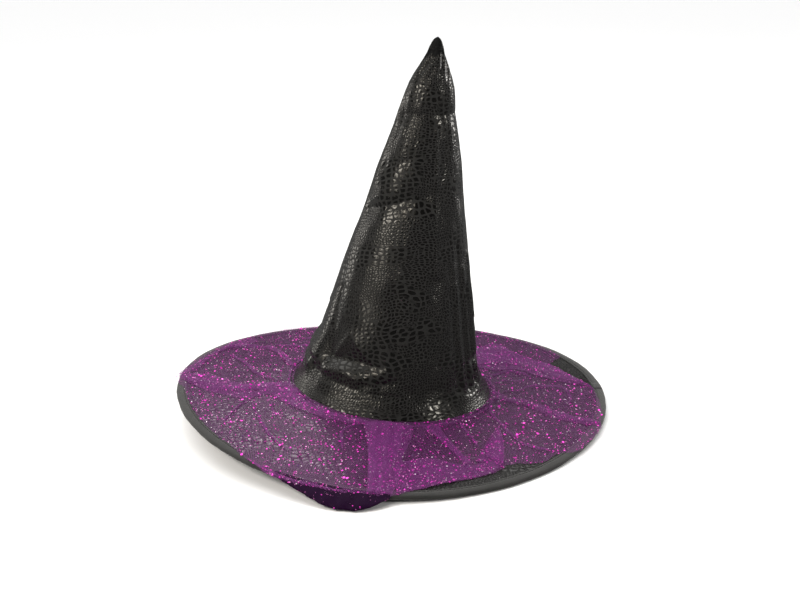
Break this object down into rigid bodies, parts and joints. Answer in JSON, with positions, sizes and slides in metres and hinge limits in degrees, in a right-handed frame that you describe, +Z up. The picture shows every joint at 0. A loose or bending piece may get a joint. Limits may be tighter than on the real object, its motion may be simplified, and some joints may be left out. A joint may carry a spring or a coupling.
{
  "type": "witch hat",
  "caption": "Tall pointed witch hat in black foil-print snakeskin cloth on a wide wired brim covered with purple glitter tulle.",
  "frame": {"origin": "on the table, under the centre of the brim", "axes": "+Z up, -Y the front of the hat, +X the side that the crown leans towards"},
  "size_m": [0.4, 0.4057, 0.3428],
  "materials": {
    "snakeskin_cloth": "satin",
    "black_lining_cloth": "matte",
    "felt_board": "matte",
    "binding_tape": "matte",
    "glitter_tulle": "satin",
    "interlining": "matte",
    "sweatband_ribbon": "matte",
    "sewing_thread": "matte",
    "hoop_wire": "satin",
    "crimp_sleeve": "satin"
  },
  "bodies": {
    "brim": {"brim_under_cover": "black_lining_cloth", "brim_stiffener": "felt_board", "brim_top_cover": "snakeskin_cloth", "brim_edge_binding": "binding_tape", "binding_lap": "binding_tape", "brim_wire": "hoop_wire", "wire_sleeve": "crimp_sleeve", "sweatband": "sweatband_ribbon", "crown_hem_band": "snakeskin_cloth", "crown_base_fold": "snakeskin_cloth", "tulle_left": "glitter_tulle", "tulle_front_right": "glitter_tulle", "tulle_back_right": "glitter_tulle", "tulle_front_corner": "glitter_tulle", "tulle_gathering_thread": "sewing_thread"},
    "crown_lower": {"crown_lower_shell": "snakeskin_cloth", "crown_lower_interlining": "interlining", "crown_lower_back_seam": "snakeskin_cloth", "crown_mid_fold": "snakeskin_cloth"},
    "crown_middle": {"crown_middle_shell": "snakeskin_cloth", "crown_middle_interlining": "interlining", "crown_middle_back_seam": "snakeskin_cloth", "crown_tip_fold": "snakeskin_cloth"},
    "crown_tip": {"crown_tip_shell": "snakeskin_cloth", "crown_tip_interlining": "interlining", "crown_tip_back_seam": "snakeskin_cloth", "crown_point": "snakeskin_cloth", "point_thread": "sewing_thread"}
  },
  "joints": [
    {"name": "crown_lean", "type": "hinge", "parent": "brim", "child": "crown_lower", "pos_m": [0.08616, 0, 0.01588], "axis": [0, -1, 0], "range_deg": [0, 8], "deforming": ["crown_base_fold"]},
    {"name": "crown_fold", "type": "hinge", "parent": "crown_lower", "child": "crown_middle", "pos_m": [0.02199, 0.0491, 0.17536], "axis": [0.9903, 0, -0.1392], "range_deg": [0, 30], "deforming": ["crown_mid_fold"]},
    {"name": "tip_fold", "type": "hinge", "parent": "crown_middle", "child": "crown_tip", "pos_m": [0.03396, 0.0294, 0.26053], "axis": [0.9903, 0, -0.1392], "range_deg": [0, 45], "deforming": ["crown_tip_fold"]}
  ]
}
